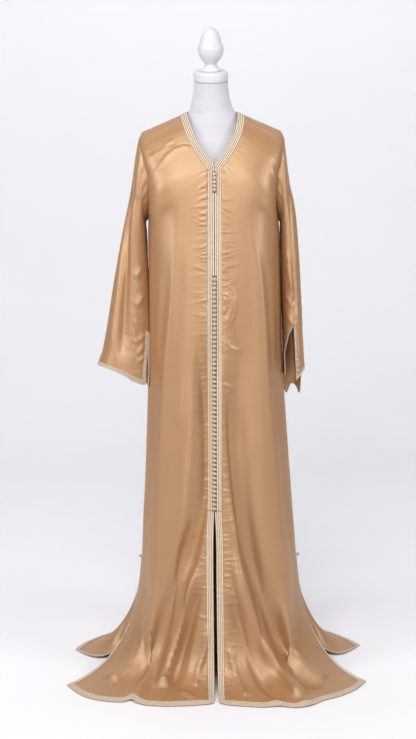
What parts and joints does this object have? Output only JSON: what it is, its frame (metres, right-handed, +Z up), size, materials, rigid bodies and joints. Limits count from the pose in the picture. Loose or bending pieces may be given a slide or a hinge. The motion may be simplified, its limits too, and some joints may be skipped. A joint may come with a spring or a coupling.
{
  "type": "takchita underdress on a dress form",
  "caption": "Floor-length satin caftan underdress with V neck, braided edges, ball-button front, front and side slits and open sleeves, worn by a limbless dress form on a pole stand.",
  "frame": {"origin": "centre of the underside of the stand's round foot, on the floor under the neck", "axes": "+Z up; the dress faces -Y; +X is the wearer's left"},
  "size_m": [0.7914, 0.7311, 1.6818],
  "materials": {
    "satin": "champagne gold satin, glossy in long soft bands",
    "braid": "taupe corded braid, low sheen",
    "form_cover": "smooth white stretch cover",
    "form_turned": "turned wood, white satin paint",
    "stand_metal": "bronze powder coat"
  },
  "bodies": {
    "root": {"back_panel": "satin", "closure_button_row": "braid", "cuff_braid_left": "braid", "cuff_braid_right": "braid", "cuff_button_right_1": "braid", "cuff_button_right_2": "braid", "cuff_button_right_3": "braid", "cuff_button_right_4": "braid", "form_base": "stand_metal", "form_finial": "form_turned", "form_neck_cap": "form_turned", "form_pole": "stand_metal", "form_torso": "form_cover", "front_panel_left": "satin", "front_panel_right": "satin", "hem_braid_back": "braid", "hem_braid_left": "braid", "hem_braid_right": "braid", "neck_braid": "braid", "neck_button_1": "braid", "neck_button_2": "braid", "neck_button_3": "braid", "neck_button_4": "braid", "neck_button_5": "braid", "placket_braid_left": "braid", "placket_braid_right": "braid", "sleeve_left": "satin", "sleeve_right": "satin", "slit_knot_left": "braid", "slit_knot_right": "braid"}
  },
  "joints": []
}
